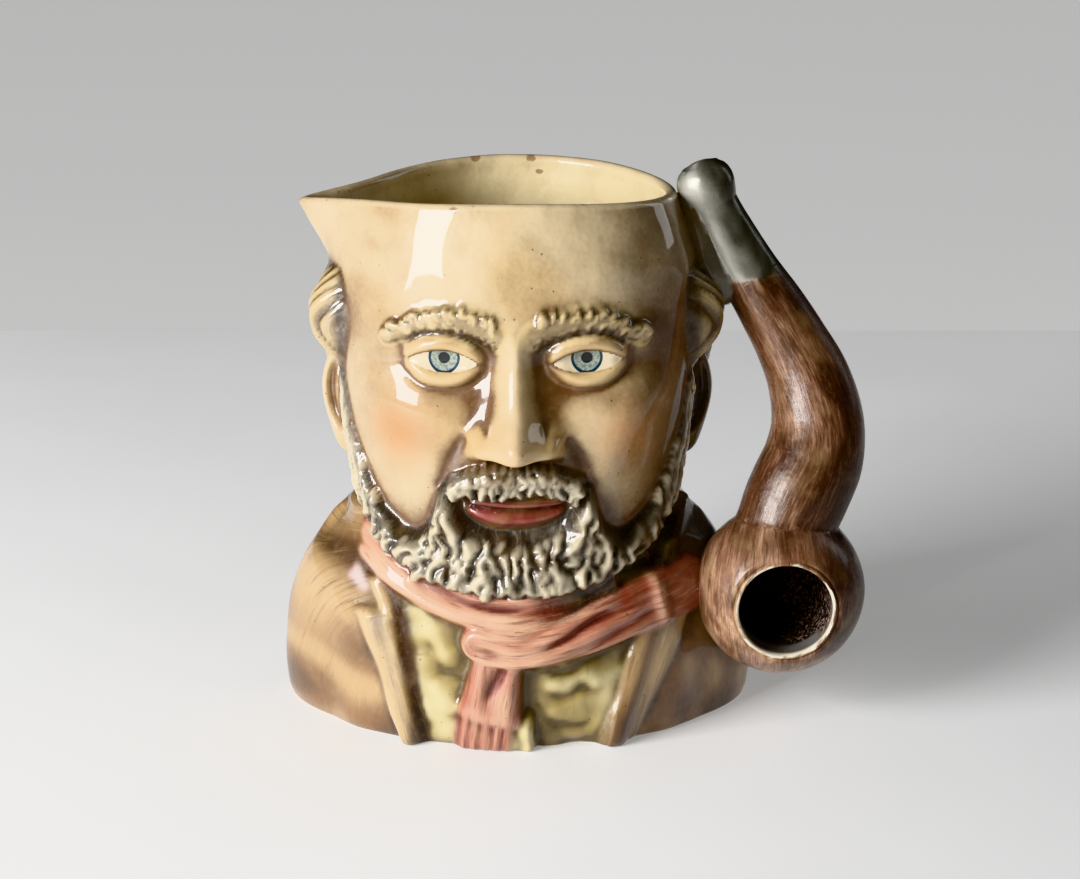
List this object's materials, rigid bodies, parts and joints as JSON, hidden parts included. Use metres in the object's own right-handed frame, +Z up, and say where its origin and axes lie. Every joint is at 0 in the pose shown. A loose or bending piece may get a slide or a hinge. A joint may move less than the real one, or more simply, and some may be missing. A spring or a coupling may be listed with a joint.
{
  "type": "toby jug",
  "caption": "Glazed pouring jug shaped as the head and shoulders of a bearded man in a scarf, with a side lip and a tobacco pipe as its handle.",
  "frame": {"origin": "middle of the flat underside, under the axis of the head", "axes": "+Z up; the face looks towards -Y; the pouring lip points to -X and the pipe handle stands on the +X side, both on the plane y = 0"},
  "size_m": [0.1528, 0.1027, 0.1459],
  "materials": {
    "painted_glaze": "clear glossy glaze over hand-painted underglaze colour"
  },
  "bodies": {
    "root": {"jug": "painted_glaze"}
  },
  "joints": []
}
